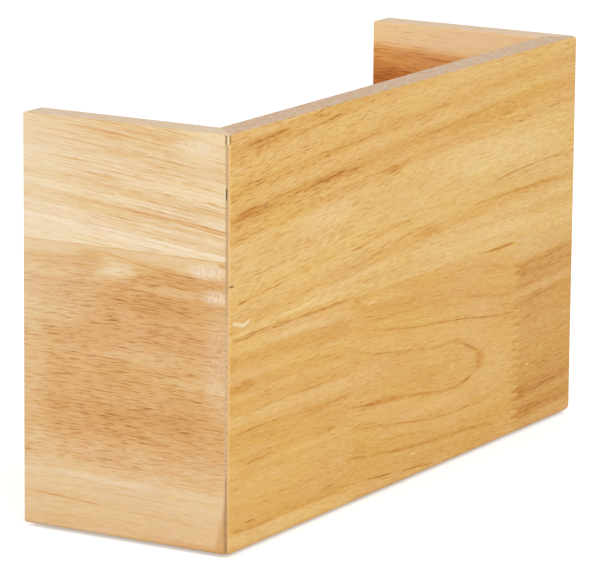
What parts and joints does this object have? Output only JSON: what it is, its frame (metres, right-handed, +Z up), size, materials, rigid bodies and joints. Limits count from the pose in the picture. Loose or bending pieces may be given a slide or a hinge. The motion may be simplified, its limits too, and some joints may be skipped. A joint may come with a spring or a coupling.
{
  "type": "umbrella stand",
  "caption": "Low wooden umbrella stand: a wide board and two mitred wings, open behind with two rails, on a base board with a lift-out drip tray.",
  "frame": {"origin": "middle of the stand's footprint, on the floor under the foot pads", "axes": "+X to the right along the wide board, +Y from the wide board to the open side, +Z up"},
  "size_m": [0.434, 0.143, 0.252],
  "materials": {
    "wide_board_wood": "clear satin lacquer",
    "amber_wood": "clear satin lacquer",
    "cream_wood": "clear satin lacquer",
    "tan_wood": "clear satin lacquer",
    "beech": "unfinished",
    "pad_rubber": "matt",
    "tray_plastic": "matt"
  },
  "bodies": {
    "stand": {"front_upper_stave": "wide_board_wood", "front_lower_left_stave": "wide_board_wood", "front_lower_middle_stave": "wide_board_wood", "front_lower_right_stave": "amber_wood", "left_upper_stave": "cream_wood", "left_lower_stave": "tan_wood", "right_upper_stave": "cream_wood", "right_lower_stave": "amber_wood", "left_mitre_biscuits": "beech", "right_mitre_biscuits": "beech", "base_front_stave": "wide_board_wood", "base_rear_stave": "tan_wood", "base_dowels": "beech", "upper_rail": "wide_board_wood", "lower_rail": "tan_wood", "rail_dowels": "beech", "foot_pads": "pad_rubber"},
    "tray": {"drip_tray": "tray_plastic"}
  },
  "joints": [
    {"name": "tray_lift", "type": "slide", "parent": "stand", "child": "tray", "axis": [0, 0, 1], "range_m": [0, 0.24]}
  ]
}
